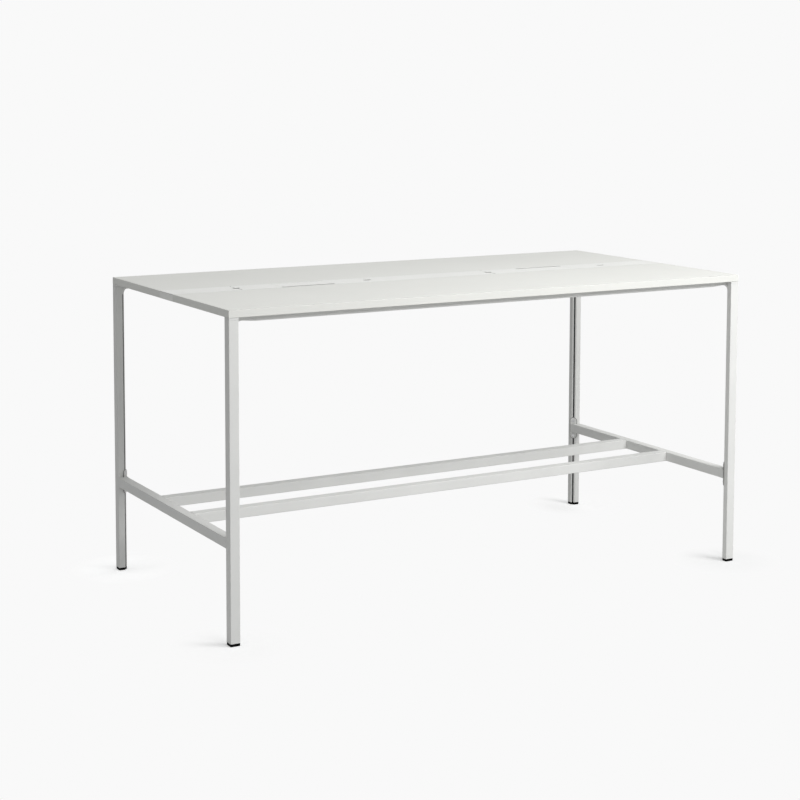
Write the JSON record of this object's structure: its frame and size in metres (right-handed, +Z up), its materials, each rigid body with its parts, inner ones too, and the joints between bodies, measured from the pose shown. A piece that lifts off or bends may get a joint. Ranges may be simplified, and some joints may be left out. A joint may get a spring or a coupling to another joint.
{
  "type": "standing meeting table",
  "caption": "Standing-height meeting table in pale grey, with a lidded cable strip along the top, slim grooved legs and a low footrest.",
  "frame": {"origin": "on the floor under the middle of the top", "axes": "+X along the length, +Y across to the rear long side, +Z up"},
  "size_m": [2, 1, 1.05],
  "materials": {
    "top_board": "pale grey laminate on board, satin",
    "lid_aluminium": "pale grey powder coat",
    "edge_aluminium": "clear anodised",
    "frame_aluminium": "pale grey powder coat",
    "cast_aluminium": "pale grey powder coat",
    "frame_steel": "pale grey powder coat",
    "tray_steel": "grey powder coat",
    "fastener_steel": "zinc plated",
    "foot_plastic": "black, fine grain"
  },
  "bodies": {
    "frame": {"foot_front_left": "foot_plastic", "leg_front_left": "frame_aluminium", "casting_front_left": "cast_aluminium", "bracket_plate_front_left": "frame_steel", "nut_plate_front_left": "fastener_steel", "screw_upper_front_left": "fastener_steel", "screw_lower_front_left": "fastener_steel", "foot_front_right": "foot_plastic", "leg_front_right": "frame_aluminium", "casting_front_right": "cast_aluminium", "bracket_plate_front_right": "frame_steel", "nut_plate_front_right": "fastener_steel", "screw_upper_front_right": "fastener_steel", "screw_lower_front_right": "fastener_steel", "foot_rear_right": "foot_plastic", "leg_rear_right": "frame_aluminium", "casting_rear_right": "cast_aluminium", "bracket_plate_rear_right": "frame_steel", "nut_plate_rear_right": "fastener_steel", "screw_upper_rear_right": "fastener_steel", "screw_lower_rear_right": "fastener_steel", "foot_rear_left": "foot_plastic", "leg_rear_left": "frame_aluminium", "casting_rear_left": "cast_aluminium", "bracket_plate_rear_left": "frame_steel", "nut_plate_rear_left": "fastener_steel", "screw_upper_rear_left": "fastener_steel", "screw_lower_rear_left": "fastener_steel", "rail_front": "frame_steel", "rail_rear": "frame_steel", "beam_left_outer": "frame_steel", "beam_left_inner": "frame_steel", "beam_right_inner": "frame_steel", "beam_right_outer": "frame_steel", "crossbar_left": "frame_steel", "crossbar_right": "frame_steel", "footrest_front": "frame_steel", "footrest_rear": "frame_steel", "panel_front": "top_board", "panel_rear": "top_board", "edge_profile_front": "edge_aluminium", "edge_profile_rear": "edge_aluminium", "cable_tray_left": "tray_steel", "cable_tray_right": "tray_steel"},
    "lid_end_left": {"lid_end_left": "lid_aluminium"},
    "lid_flap_left": {"lid_flap_left": "lid_aluminium", "flap_pin_left": "fastener_steel"},
    "flap_left": {"flap_left": "lid_aluminium"},
    "lid_centre": {"lid_centre": "lid_aluminium"},
    "lid_flap_right": {"lid_flap_right": "lid_aluminium", "flap_pin_right": "fastener_steel"},
    "flap_right": {"flap_right": "lid_aluminium"},
    "lid_end_right": {"lid_end_right": "lid_aluminium"}
  },
  "joints": [
    {"name": "lid_end_left_lift", "type": "slide", "parent": "frame", "child": "lid_end_left", "axis": [0, 0, 1], "range_m": [0, 0.12]},
    {"name": "lid_flap_left_lift", "type": "slide", "parent": "frame", "child": "lid_flap_left", "axis": [0, 0, 1], "range_m": [0, 0.12]},
    {"name": "lid_centre_lift", "type": "slide", "parent": "frame", "child": "lid_centre", "axis": [0, 0, 1], "range_m": [0, 0.12]},
    {"name": "lid_flap_right_lift", "type": "slide", "parent": "frame", "child": "lid_flap_right", "axis": [0, 0, 1], "range_m": [0, 0.12]},
    {"name": "lid_end_right_lift", "type": "slide", "parent": "frame", "child": "lid_end_right", "axis": [0, 0, 1], "range_m": [0, 0.12]},
    {"name": "flap_left_hinge", "type": "hinge", "parent": "lid_flap_left", "child": "flap_left", "pos_m": [-0.5, 0.045, 1.047], "axis": [-1, 0, 0], "range_deg": [0, 100]},
    {"name": "flap_right_hinge", "type": "hinge", "parent": "lid_flap_right", "child": "flap_right", "pos_m": [0.5, -0.045, 1.047], "axis": [1, 0, 0], "range_deg": [0, 100]}
  ]
}
